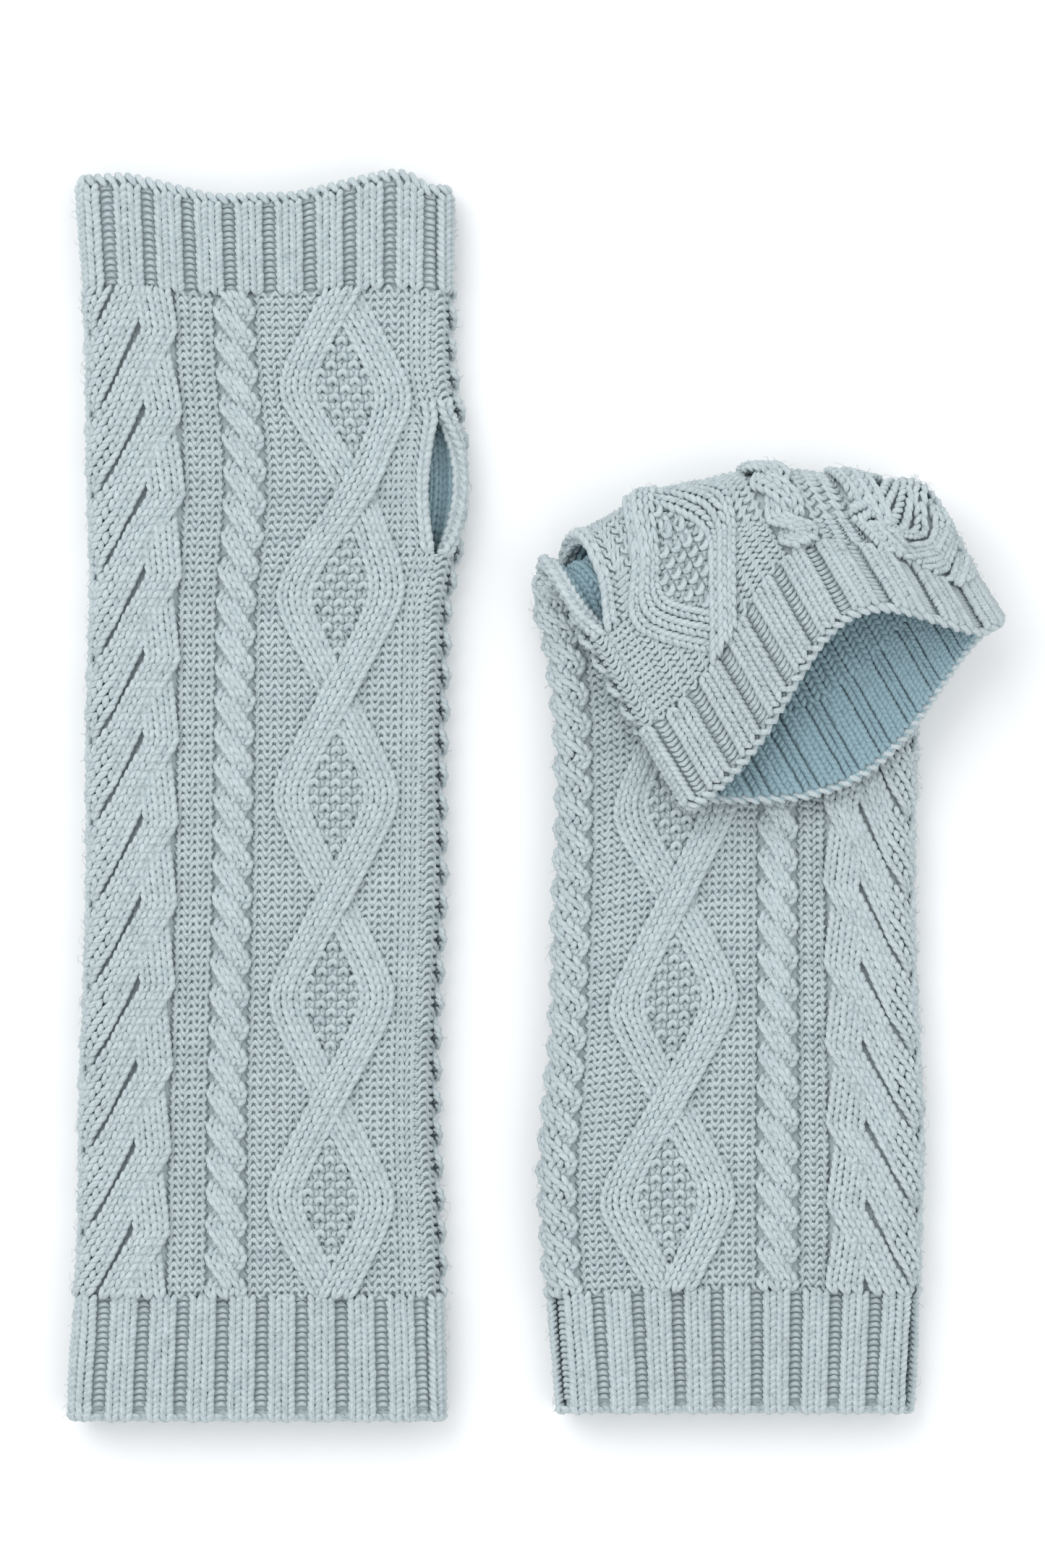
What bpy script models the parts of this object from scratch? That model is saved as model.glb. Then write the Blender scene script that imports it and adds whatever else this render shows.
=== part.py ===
"""A pair of cable-knit fingerless gloves, lying on a table with the palms of the two tubes down.

Each glove is one knitted tube: ribbed cuff, patterned arm and hand, ribbed finger edge, and a
thumb slit at the end of its side seam. The left glove lies flat. The hand end of the right glove
is folded forward over its arm, and its mouth stands open.

A point of a tube is named by two lengths in millimetres: `around`, from the middle of the braid
on its folded edge, over side A to the thumb edge and back over side B, and `up`, along the
knitting from the cast-on edge. +Y runs to the finger edge, +Z up from the table.
"""
import math

import bpy
import numpy as np

MM = 0.001

# Overall sizes of one glove, in millimetres, laid flat.
GLOVE_LENGTH = 310.0       # cast-on edge to finger edge
CIRCUMFERENCE = 180.0      # round the tube, in the middle of its wall
PAIR_SPACING = 119.0       # centre line to centre line

# The fabric.
WALL = 2.8                 # purl ground
RIB_WALL = 3.8             # two-by-two rib
CABLE_RISE = 2.0           # how far cables stand out of the ground
AIR_GAP = 5.6              # between the two layers of a tube that lies flat
FIT = 0.3                  # clearance between pieces side by side
ROW_FIT = 0.8              # clearance between pieces end to end, where the wall twists more

# Widths of the cables; purl fills what they leave.
BRAID_WIDTH = 45.6
ROPE_WIDTH = 11.2
DIAMOND_WIDTH = 31.6
SEAM_WIDTH = 1.2
THUMB_EDGE_WIDTH = 3.4

# Lengths along the knitting.
EDGE_HEIGHT = 3.0          # cast-on and bind-off chains
CUFF_RIB = 28.0
FINGER_RIB = 25.0
THUMB_SLIT = 34.0
SLIT_FROM_FINGERS = 60.0   # top of the slit to the finger edge
SLIT_GAPE = 7.0            # widest opening between the two lips
SLIT_BULGE = 5.0           # how far the side edge swells there
FOLD_BAND = 38.0           # stretch of the wrist that bends when the hand end is folded
FOLD_FROM_FINGERS = 95.0   # start of that stretch to the finger edge

# The folded hand end of the right glove.
FOLD_TURN = math.radians(30)   # its tube points this far off straight back
FOLD_SKEW = 14.0               # how much later the braid edge folds than the thumb edge
FOLD_SLACK = 10.0              # length that both edges lose against the middle
UPPER_LIP_LAG = 25.0           # how far the upper lip falls behind the corners of the mouth
LOWER_LIP_LEAD = 21.0          # how far the lower lip reaches past them
MOUTH_RISE = 12.0              # how far the upper lip arches up
FLAP_EASE = 0.84               # knitting drawn together along the folded end
FLAP_EDGE_EASE = 0.34          # more of it along the braid edge

WIDEST_FACET = 6.0         # across the tube
LEAST_FACET = 0.8

LAYER_RADIUS = (AIR_GAP + WALL) / 2
QUARTER = LAYER_RADIUS * math.pi / 2
HALF = CIRCUMFERENCE / 2
BASE_HALF_WIDTH = HALF / 2 - QUARTER
MID_HEIGHT = LAYER_RADIUS + WALL / 2 + CABLE_RISE
FOLD_HEIGHT = 2 * MID_HEIGHT + FIT
FOLD_RADIUS = FOLD_HEIGHT - MID_HEIGHT
FOLD_ROWS = math.pi * FOLD_RADIUS

# How the two side edges stray from straight: share of the length, braid edge, thumb edge.
LEFT_OUTLINE = ((0, 3.3, 2.2), (0.1, 1.4, 1.2), (0.25, -0.2, -0.8), (0.42, -1.5, 0.8),
                (0.61, -2.2, 1.5), (0.8, -2.3, 3.0), (1, 1.4, 3.9))
RIGHT_OUTLINE = ((0, -1.0, 0.5), (0.1, 0.7, 2.8), (0.2, 1.7, 4.6), (0.31, 0.2, 1.8),
                 (0.48, -1.0, 0.0), (0.6, 0.0, 0.5), (0.7, 1.8, 5.0), (1, 1.8, 5.0))
# How far the finger edge of the flat glove strays from straight, from braid to thumb edge.
FINGER_EDGE_WAVE = ((0, 0.3), (0.08, 0.9), (0.34, -4.6), (0.59, -4.1), (0.8, 0.2), (0.9, 2.0), (0.96, 0.6),
                    (1, -3.0))
WAVE_REACH = 60.0

WOOL = (0.52, 0.60, 0.63)
FINISHES = {
    "rib_knit": (WOOL, 0.90),
    "purl_knit": ((0.48, 0.56, 0.59), 0.95),
    "braid_cable": ((0.54, 0.62, 0.65), 0.88),
    "rope_cable": ((0.55, 0.63, 0.66), 0.88),
    "diamond_cable": ((0.53, 0.61, 0.64), 0.90),
    "edge_chain": ((0.57, 0.65, 0.68), 0.86),
    "seam_yarn": ((0.50, 0.58, 0.61), 0.92),
    "thumb_edge": ((0.54, 0.62, 0.65), 0.88),
    "wrist_knit": ((0.51, 0.59, 0.62), 0.92),
}

# What follows the braid round the tube: a piece and the share of the spare width before it.
ZONE_ORDER = (("rope_1", ROPE_WIDTH, 8.8), ("diamond_1", DIAMOND_WIDTH, 4.5), ("seam", SEAM_WIDTH, 5.1),
              ("rope_2", ROPE_WIDTH, 3.8), ("diamond_2", DIAMOND_WIDTH, 4.7),
              ("rope_3", ROPE_WIDTH, 4.2))
LAST_SHARE = 6.3


def lay_out_zones():
    """Spans round the tube: every cable, the seam, and the purl strips between them."""
    used = BRAID_WIDTH + sum(width for _, width, _ in ZONE_ORDER)
    unit = (CIRCUMFERENCE - used) / (LAST_SHARE + sum(share for _, _, share in ZONE_ORDER))
    spans = {"braid": (-BRAID_WIDTH / 2, BRAID_WIDTH / 2)}
    purl = []
    place = BRAID_WIDTH / 2
    for zone, width, share in ZONE_ORDER:
        purl.append((place, place + share * unit))
        place += share * unit
        spans[zone] = (place, place + width)
        place += width
    purl.append((place, CIRCUMFERENCE - BRAID_WIDTH / 2))
    return spans, purl


ZONES, PURL = lay_out_zones()
SEAM_AT = sum(ZONES["seam"]) / 2
SLIT_TOP = GLOVE_LENGTH - SLIT_FROM_FINGERS
SLIT_BOTTOM = SLIT_TOP - THUMB_SLIT
BAND_START = GLOVE_LENGTH - FOLD_FROM_FINGERS


def smooth(x):
    x = np.clip(x, 0, 1)
    return x * x * (3 - 2 * x)


def upper_lip(across):
    """The upper lip's bow, fullest towards the braid edge, nothing at the corners."""
    return np.sin(math.pi * across ** 0.65) ** 2


def lower_lip(across):
    return np.sin(math.pi * across ** 1.3)


def slit_opening(up):
    """How far each lip of the thumb slit stands from the seam line."""
    share = np.clip((up - SLIT_BOTTOM) / THUMB_SLIT, 0, 1)
    return SLIT_GAPE / 2 * np.sin(math.pi * share)


class Glove:
    """The mid-wall surface of one tube."""

    def __init__(self, name, centre, cuff_y, outline, folded):
        self.name = name
        self.centre = centre
        self.cuff_y = cuff_y
        self.outline = np.array(outline, dtype=float)
        self.folded = folded
        self.thumb_way = -1.0 if folded else 1.0

    def fold_start(self, across):
        """Where along the knitting the fold begins; across is 0 at the braid edge, 1 at the thumb."""
        if not self.folded:
            return BAND_START + 0 * across
        return BAND_START + FOLD_SKEW * (1 - across) - 2

    def side_x(self, across, up):
        share = up / GLOVE_LENGTH
        braid = BASE_HALF_WIDTH + np.interp(share, self.outline[:, 0], self.outline[:, 1])
        thumb = BASE_HALF_WIDTH + np.interp(share, self.outline[:, 0], self.outline[:, 2])
        from_slit = np.clip((up - SLIT_BOTTOM - THUMB_SLIT / 2) / THUMB_SLIT, -1, 1)
        thumb = thumb + SLIT_BULGE / 2 * (1 + np.cos(math.pi * from_slit))
        return self.centre + self.thumb_way * (across * (braid + thumb) - braid)

    def middle(self, across, up):
        """A point of the tube's middle sheet and the direction from it to side A."""
        if self.folded:
            return self.folded_middle(across, up)
        wave = np.interp(across, *np.array(FINGER_EDGE_WAVE).T)
        reach = np.clip((up - GLOVE_LENGTH + WAVE_REACH) / WAVE_REACH, 0, 1) ** 2
        point = np.stack([self.side_x(across, up), self.cuff_y + up + wave * reach,
                          MID_HEIGHT + 0 * up], axis=-1)
        return point, np.broadcast_to(np.array([0.0, 0.0, 1.0]), point.shape)

    def folded_middle(self, across, up):
        start = self.fold_start(across)
        turn = FOLD_TURN / 2
        crease = np.array([math.cos(turn), math.sin(turn)])
        ahead = np.array([-math.sin(turn), math.cos(turn)])
        flap_way = np.array([math.sin(FOLD_TURN), -math.cos(FOLD_TURN)])
        arm_length = start - FOLD_SLACK * (1 - np.sin(math.pi * across))
        flat = np.stack([self.side_x(across, np.minimum(up, start)),
                         self.cuff_y + np.minimum(up, start) / start * arm_length], axis=-1)
        angle = np.clip((up - start) / FOLD_ROWS, 0, 1) * math.pi
        drift = angle * FOLD_RADIUS * math.tan(turn)
        ease = FLAP_EASE - FLAP_EDGE_EASE * np.clip(1 - across, 0, 1) ** 3
        flap = np.maximum(up - start - FOLD_ROWS, 0) * ease
        plan = (flat + drift[..., None] * crease + (FOLD_RADIUS * np.sin(angle))[..., None] * ahead
                + flap[..., None] * flap_way)
        height = FOLD_HEIGHT - FOLD_RADIUS * np.cos(angle)
        point = np.concatenate([plan, height[..., None]], axis=-1)
        to_side_a = np.concatenate([np.sin(angle)[..., None] * ahead, -np.cos(angle)[..., None]],
                                   axis=-1)
        return point, to_side_a

    def lag(self, across, up):
        """Rows by which side A falls behind the middle once the tube is folded, and B leads."""
        if not self.folded:
            return 0 * up, 0 * up
        ramp = smooth((up - self.fold_start(across) + 8) / (FOLD_ROWS + 34))
        return UPPER_LIP_LAG * upper_lip(across) * ramp, LOWER_LIP_LEAD * lower_lip(across) * ramp

    def surface(self, around, up):
        """Mid-wall points for arrays of around and up."""
        around, up = np.broadcast_arrays(np.asarray(around, float), np.asarray(up, float))
        around = np.mod(around + QUARTER, CIRCUMFERENCE) - QUARTER
        side_a = (around >= QUARTER) & (around <= HALF - QUARTER)
        side_b = around >= HALF + QUARTER
        braid_edge = around < QUARTER
        across_a = (around - QUARTER) / (HALF - 2 * QUARTER)
        across_b = 1 - (around - HALF - QUARTER) / (HALF - 2 * QUARTER)
        across = np.where(side_a, across_a, np.where(side_b, across_b, np.where(braid_edge, 0.0, 1.0)))
        across = np.clip(across, 0, 1)
        behind, ahead = self.lag(across, up)
        station = up - np.where(side_a, behind, 0.0) + np.where(side_b, ahead, 0.0)
        point, to_a = self.middle(across, station)
        step = 0.5
        along = self.middle(across, station + step)[0] - self.middle(across, station - step)[0]
        outward = np.cross(along, to_a)
        outward /= np.linalg.norm(outward, axis=-1, keepdims=True)
        bend = np.where(braid_edge, around, HALF - around) / LAYER_RADIUS
        sideways = np.where(side_a | side_b, 0.0, np.cos(bend))
        towards_a = np.where(side_a, 1.0, np.where(side_b, -1.0, np.sin(bend)))
        outward = outward * np.where(braid_edge, -1.0, 1.0)[..., None]
        point = point + LAYER_RADIUS * (sideways[..., None] * outward + towards_a[..., None] * to_a)
        if self.folded:
            flap_start = self.fold_start(across) + FOLD_ROWS
            rise = smooth((station - flap_start) / (GLOVE_LENGTH - flap_start - UPPER_LIP_LAG))
            point[..., 2] += MOUTH_RISE * rise * upper_lip(across) * side_a
        return point

    def step_along(self, around, up, distance):
        """The place along the knitting a true distance further on, where rows are drawn together."""
        step = self.surface(around, up + 0.5) - self.surface(around, up - 0.5)
        return up + distance / np.linalg.norm(step, axis=-1)

    def wall_point(self, around, up, depth):
        """Points at a distance outside the mid-wall surface."""
        step = 0.4
        across = self.surface(around + step, up) - self.surface(around - step, up)
        along = self.surface(around, up + step) - self.surface(around, up - step)
        normal = np.cross(across, along)
        normal /= np.linalg.norm(normal, axis=-1, keepdims=True)
        return self.surface(around, up) + depth * normal


def facet_lines():
    """Places round the tube where facets meet, the same for every piece of a tube."""
    lines = [edge + k * QUARTER / 3 for edge in (0, HALF, CIRCUMFERENCE) for k in range(-3, 4)]
    for span in list(ZONES.values()) + PURL:
        lines += [place % CIRCUMFERENCE for place in span]
    spaced = [0.0]
    for line in sorted(line for line in lines if 0 < line <= CIRCUMFERENCE):
        gap = line - spaced[-1]
        if gap > LEAST_FACET:
            pieces = math.ceil(gap / WIDEST_FACET)
            spaced += [spaced[-1] + gap * (k + 1) / pieces for k in range(pieces)]
    return spaced


LINES = facet_lines()


def breaks_between(low, high):
    lines = [line - CIRCUMFERENCE for line in LINES] + LINES
    return [low] + [line for line in lines if low + LEAST_FACET < line < high - LEAST_FACET] + [high]


def make_material(slot):
    colour, roughness = FINISHES[slot]
    material = bpy.data.materials.new(slot)
    material.use_nodes = True
    shader = material.node_tree.nodes["Principled BSDF"]
    shader.inputs["Base Color"].default_value = (*colour, 1.0)
    shader.inputs["Roughness"].default_value = roughness
    shader.inputs["Metallic"].default_value = 0.0
    material.diffuse_color = (*colour, 1.0)
    return material


def strip(glove, span, low, high, thickness, rows):
    """One closed body: a stretch of the wall between two places round and two along the tube.

    low and high give the ends along the knitting for an array of places round the tube; a span
    whose ends are functions follows the lips of the thumb slit.
    """
    inner, outer = thickness
    ring = span is None
    shares = np.linspace(0, 1, rows + 1)
    if ring:
        places = np.array(breaks_between(0, CIRCUMFERENCE)[:-1])
        around = np.repeat(places[:, None], rows + 1, axis=1)
    elif callable(span[0]):
        middle_up = low(SEAM_AT) + shares * (high(SEAM_AT) - low(SEAM_AT))
        ends = [edge(middle_up) for edge in span]
        inner_lines = breaks_between(float(ends[0].max()), float(ends[1].min()))[1:-1]
        around = np.array([ends[0]] + [line + 0 * middle_up for line in inner_lines] + [ends[1]])
    else:
        places = np.array(breaks_between(span[0] + FIT / 2, span[1] - FIT / 2))
        around = np.repeat(places[:, None], rows + 1, axis=1)
    bottom = glove.step_along(around[:, :1], low(around[:, :1]), ROW_FIT / 2)
    top = glove.step_along(around[:, :1], high(around[:, :1]), -ROW_FIT / 2)
    up = bottom + shares * (top - bottom)
    outside = glove.wall_point(around, up, outer).reshape(-1, 3)
    inside = glove.wall_point(around, up, inner).reshape(-1, 3)
    columns = around.shape[0]
    count = columns * (rows + 1)

    def corner(column, row, layer):
        return layer * count + (column % columns) * (rows + 1) + row

    faces = []

    def add_quad(a, b, c, d):
        """Two triangles that meet from a to c, so that walls facing each other match."""
        faces.append([a, b, c])
        faces.append([a, c, d])

    for column in range(columns if ring else columns - 1):
        after = column + 1
        for row in range(rows):
            add_quad(corner(column, row, 0), corner(after, row, 0),
                     corner(after, row + 1, 0), corner(column, row + 1, 0))
            add_quad(corner(column, row, 1), corner(column, row + 1, 1),
                     corner(after, row + 1, 1), corner(after, row, 1))
        add_quad(corner(after, 0, 1), corner(after, 0, 0), corner(column, 0, 0), corner(column, 0, 1))
        add_quad(corner(column, rows, 0), corner(after, rows, 0),
                 corner(after, rows, 1), corner(column, rows, 1))
    if not ring:
        last = columns - 1
        for row in range(rows):
            add_quad(corner(0, row, 0), corner(0, row + 1, 0),
                     corner(0, row + 1, 1), corner(0, row, 1))
            add_quad(corner(last, row + 1, 1), corner(last, row + 1, 0),
                     corner(last, row, 0), corner(last, row, 1))
    return np.vstack([outside, inside]), faces


def add_node(glove, zone, slot, pivot, span, low, high, thickness, rows):
    """One object with its origin at its joint's empty."""
    points, faces = strip(glove, span, low, high, thickness, rows)
    to_pivot = np.array(pivot.matrix_world.inverted())
    local = points * MM @ to_pivot[:3, :3].T + to_pivot[:3, 3]
    name = glove.name + "_" + zone
    mesh = bpy.data.meshes.new(name)
    mesh.from_pydata(local.tolist(), [], faces)
    mesh.validate()
    mesh.materials.append(MATERIALS[slot])
    mesh.shade_smooth()
    mesh.set_sharp_from_angle(angle=math.radians(40))
    node = bpy.data.objects.new(name, mesh)
    node.parent = pivot
    bpy.context.scene.collection.objects.link(node)
    return node


def add_pivot(name, place, turn=0.0):
    empty = bpy.data.objects.new(name, None)
    empty.empty_display_size = 0.02
    empty.location = [value * MM for value in place]
    empty.rotation_euler = (0, 0, turn)
    bpy.context.scene.collection.objects.link(empty)
    bpy.context.view_layer.update()
    return empty


def level(value):
    return lambda around: value + 0 * np.asarray(around, float)


def build_section(glove, part, low, high, rows, pivot):
    """The patterned stretch of a tube: purl ground and seam, with the cables standing on them."""
    ground = (-WALL / 2, WALL / 2)
    braid = (-WALL / 2, WALL / 2 + CABLE_RISE)
    cable = (WALL / 2 + FIT, WALL / 2 + CABLE_RISE)
    seam = ZONES["seam"]
    braid_end = ZONES["braid"][1]
    add_node(glove, part + "_braid_cable", "braid_cable", pivot, ZONES["braid"], low, high, braid, rows)
    for zone in ("rope_1", "rope_2", "rope_3", "diamond_1", "diamond_2"):
        kind, number = zone.split("_")
        add_node(glove, f"{part}_{kind}_cable_{number}", f"{kind}_cable", pivot,
                 ZONES[zone], low, high, cable, rows)
    add_node(glove, part + "_side_seam", "seam_yarn", pivot, seam, low, high, ground, rows)
    add_node(glove, part + "_purl_ground_a", "purl_knit", pivot,
             (braid_end, seam[0]), low, high, ground, rows)
    add_node(glove, part + "_purl_ground_b", "purl_knit", pivot,
             (seam[1], CIRCUMFERENCE - braid_end), low, high, ground, rows)


def build_rib(glove, part, low, high, rows, pivot):
    rib = (-RIB_WALL / 2, RIB_WALL / 2)
    for side, span in (("a", (0, HALF)), ("b", (HALF, CIRCUMFERENCE))):
        add_node(glove, f"{part}_{side}", "rib_knit", pivot, span, low, high, rib, rows)


def build_wrist(glove, low, high, pivot):
    """The stretch that bends when the hand end is folded, open at the thumb slit."""
    wall = (-WALL / 2, WALL / 2)
    rows = 12

    def lip(side, inset):
        return lambda up: SEAM_AT + side * (slit_opening(up) + inset)

    near = FIT / 2
    far = near + THUMB_EDGE_WIDTH
    for piece, slot, span in (
            ("wrist_fold_a", "wrist_knit", (level(FIT / 2), lip(-1, far + FIT))),
            ("wrist_fold_b", "wrist_knit", (lip(1, far + FIT), level(CIRCUMFERENCE - FIT / 2))),
            ("thumb_edge_a", "thumb_edge", (lip(-1, far), lip(-1, near))),
            ("thumb_edge_b", "thumb_edge", (lip(1, near), lip(1, far)))):
        add_node(glove, piece, slot, pivot, span, low, high, wall, rows)


def build_glove(glove, arm_pivot, hand_pivot):
    rib = (-RIB_WALL / 2, RIB_WALL / 2)
    rib_top = level(EDGE_HEIGHT + CUFF_RIB)
    finger_rib = level(GLOVE_LENGTH - EDGE_HEIGHT - FINGER_RIB)
    edge_start = level(GLOVE_LENGTH - EDGE_HEIGHT)

    def across_of(around):
        place = np.mod(np.asarray(around, float), CIRCUMFERENCE)
        folded_over = np.minimum(place, CIRCUMFERENCE - place)
        return np.clip((folded_over - QUARTER) / (HALF - 2 * QUARTER), 0, 1)

    def band_start(around):
        return glove.fold_start(across_of(around))

    def band_end(around):
        return glove.fold_start(across_of(around)) + FOLD_BAND

    add_node(glove, "cast_on_edge", "edge_chain", arm_pivot,
             None, level(0), level(EDGE_HEIGHT), rib, 1)
    build_rib(glove, "cuff_rib", level(EDGE_HEIGHT), rib_top, 2, arm_pivot)
    build_section(glove, "arm", rib_top, band_start, 5, arm_pivot)
    build_wrist(glove, band_start, band_end, hand_pivot)
    build_section(glove, "hand", band_end, finger_rib, 4, hand_pivot)
    build_rib(glove, "finger_rib", finger_rib, edge_start, 3, hand_pivot)
    add_node(glove, "bind_off_edge", "edge_chain", hand_pivot,
             None, edge_start, level(GLOVE_LENGTH), rib, 1)


for old in list(bpy.data.objects):
    bpy.data.objects.remove(old)

MATERIALS = {slot: make_material(slot) for slot in FINISHES}

LEFT = Glove("left", -68.74, -156.1, LEFT_OUTLINE, folded=False)
RIGHT = Glove("right", LEFT.centre + PAIR_SPACING, -154.1, RIGHT_OUTLINE, folded=True)

# The wrist hinges lie on top of the arm, where a hand end folded over it turns.
LEFT_HINGE_Y = LEFT.cuff_y + BAND_START + FOLD_BAND / 2
RIGHT_HINGE_Y = RIGHT.cuff_y + BAND_START + 1

left_arm = add_pivot("left_arm_place", (LEFT.centre, LEFT.cuff_y, 0))
left_wrist = add_pivot("left_wrist_hinge", (LEFT.centre, LEFT_HINGE_Y, FOLD_HEIGHT))
right_arm = add_pivot("right_arm_place", (RIGHT.centre, RIGHT.cuff_y, 0))
right_wrist = add_pivot("right_wrist_hinge", (RIGHT.centre, RIGHT_HINGE_Y, FOLD_HEIGHT),
                        FOLD_TURN / 2)

build_glove(LEFT, left_arm, left_wrist)
build_glove(RIGHT, right_arm, right_wrist)
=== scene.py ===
"""Finished look of the pair of cable-knit fingerless gloves, yarn by yarn.

Every piece of the CAD frame is replaced by knitting: closed tubes of wool laid along the stitches of
that piece, over a thin backing cloth. Places on a glove are given as (around, up, depth) in
millimetres: round the tube, along the knitting from the cast-on edge, and out of the wall.
"""

import math

import bpy
import numpy as np
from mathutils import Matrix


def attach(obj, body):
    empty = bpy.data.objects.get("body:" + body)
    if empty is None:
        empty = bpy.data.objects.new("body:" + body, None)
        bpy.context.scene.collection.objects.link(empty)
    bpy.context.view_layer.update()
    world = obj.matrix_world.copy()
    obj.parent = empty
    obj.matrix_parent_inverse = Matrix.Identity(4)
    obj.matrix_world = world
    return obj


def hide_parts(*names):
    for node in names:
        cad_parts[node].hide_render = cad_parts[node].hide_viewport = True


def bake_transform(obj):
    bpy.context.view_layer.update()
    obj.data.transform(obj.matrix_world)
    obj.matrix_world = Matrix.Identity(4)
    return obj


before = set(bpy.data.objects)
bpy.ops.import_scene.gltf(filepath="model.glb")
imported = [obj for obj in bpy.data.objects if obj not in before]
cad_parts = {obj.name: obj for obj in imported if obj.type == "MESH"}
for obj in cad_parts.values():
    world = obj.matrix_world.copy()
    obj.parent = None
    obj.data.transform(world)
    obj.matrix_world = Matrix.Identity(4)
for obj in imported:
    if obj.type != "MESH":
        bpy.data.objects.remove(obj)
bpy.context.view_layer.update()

MM = 0.001

# The shape of the tubes, as in the CAD.
GLOVE_LENGTH = 310.0
CIRCUMFERENCE = 180.0
HALF = CIRCUMFERENCE / 2
LAYER_RADIUS = 4.2
QUARTER = math.pi * LAYER_RADIUS / 2
BASE_HALF_WIDTH = HALF / 2 - QUARTER
MID_HEIGHT = 7.6
EDGE_HEIGHT = 3.0
CUFF_TOP = 31.0
HAND_TOP = 282.0
SEAM_AT = 84.1
SLIT_BOTTOM = 216.0
THUMB_SLIT = 34.0
SLIT_GAPE = 9.0
SLIT_BULGE = 5.0
SLIT_REACH = 17.0
BAND_START = 215.0
FOLD_BAND = 38.0
FOLD_TURN = math.radians(30)
FOLD_SKEW = 14.0
FOLD_SLACK = 10.0
FOLD_RADIUS = 7.9
FOLD_HEIGHT = 15.5
FOLD_ROWS = 24.8
UPPER_LIP_LAG = 25.0
LOWER_LIP_LEAD = 21.0
MOUTH_RISE = 12.0
FLAP_EASE = 0.84
FLAP_EDGE_EASE = 0.34

# Share of the length, then how far the braid edge and the thumb edge stand out there.
LEFT_OUTLINE = ((0, 3.3, 2.2), (0.1, 1.4, 1.2), (0.25, -0.2, -0.8), (0.42, -1.5, 0.8), (0.61, -2.2, 1.5),
                (0.8, -2.3, 3.0), (1, 1.4, 3.9))
RIGHT_OUTLINE = ((0, -1.0, 0.5), (0.1, 0.7, 2.8), (0.2, 1.7, 4.6), (0.31, 0.2, 1.8), (0.48, -1.0, 0.0),
                 (0.6, 0.0, 0.5), (0.7, 1.8, 5.0), (1, 1.8, 5.0))
# Share of the width from the braid edge, then how far the finger edge reaches there.
FINGER_EDGE_WAVE = ((0, 0.3), (0.08, 0.9), (0.34, -4.6), (0.59, -4.1), (0.8, 0.2), (0.9, 2.0),
                    (0.96, 0.6), (1, -3.0))
WAVE_REACH = 60.0

# The knitting.
ROW = 2.04
CUFF_ROWS = 18
FINGER_ROWS = 15
RIB_PAIRS = 19
RIB_REPEAT = CIRCUMFERENCE / RIB_PAIRS
RIB_WALE = 3.15
PURL_WALE = 3.3
BRAID_EDGE = 22.8
# Where the middle of each rope and diamond lies round the tube.
ROPES = {"rope_cable_1": 37.0, "rope_cable_2": 94.0, "rope_cable_3": 145.5}
DIAMONDS = {"diamond_cable_1": 62.7, "diamond_cable_2": 120.0}
# Where the purl ground shows, by side; it stops under the middle of each rope.
PURL_SPANS = (("a", BRAID_EDGE, 32.0), ("a", 42.0, 79.0), ("b", 84.2, 89.0), ("b", 99.0, 140.5),
              ("b", 150.6, 157.2))
ROPE_WALE = 2.8
ROPE_CROSSING = 8.15
DIAMOND_WALE = 3.0
DIAMOND_PERIOD = 50.3
DIAMOND_REACH = 11.3
BRAID_WALE = 2.95
BRAID_PERIOD = 20.4
BRAID_STRAND = 9.7

CAST_ON_LOOPS = 64
BIND_OFF_LOOPS = 76

# How pale each kind of yarn is; below -3 it also turns to a dark blue-grey, the painted shade of the tube's
# inside.
# The backing cloth is a little darker: painted shade in the gaps between the stitches.
CLOTH_SHADE_TONE = -1.6
INSIDE_SHADE_TONE = -20.0
FIBRE_TONE = 2.0
FIBRE_SHARE = 0.3        # stray fibres to each stitch
LEAST_HEIGHT = 0.02      # what would lie below the table is pressed up to this

random = np.random.default_rng(7)


def smooth(x):
    x = np.clip(x, 0, 1)
    return x * x * (3 - 2 * x)


def unit(vectors):
    return vectors / np.maximum(np.linalg.norm(vectors, axis=-1, keepdims=True), 1e-9)


def eased(share, table):
    """A table read with its corners rounded."""
    table = np.array(table, float)
    steps = (-0.03, -0.015, 0, 0.015, 0.03)
    return sum(np.interp(share + step, table[:, 0], table[:, 1]) for step in steps) / len(steps)


def slit_opening(up):
    return SLIT_GAPE / 2 * np.sin(math.pi * np.clip((up - SLIT_BOTTOM) / THUMB_SLIT, 0, 1))


def across_of(around):
    place = np.mod(np.asarray(around, float), CIRCUMFERENCE)
    return np.clip((np.minimum(place, CIRCUMFERENCE - place) - QUARTER) / (HALF - 2 * QUARTER), 0, 1)


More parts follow.
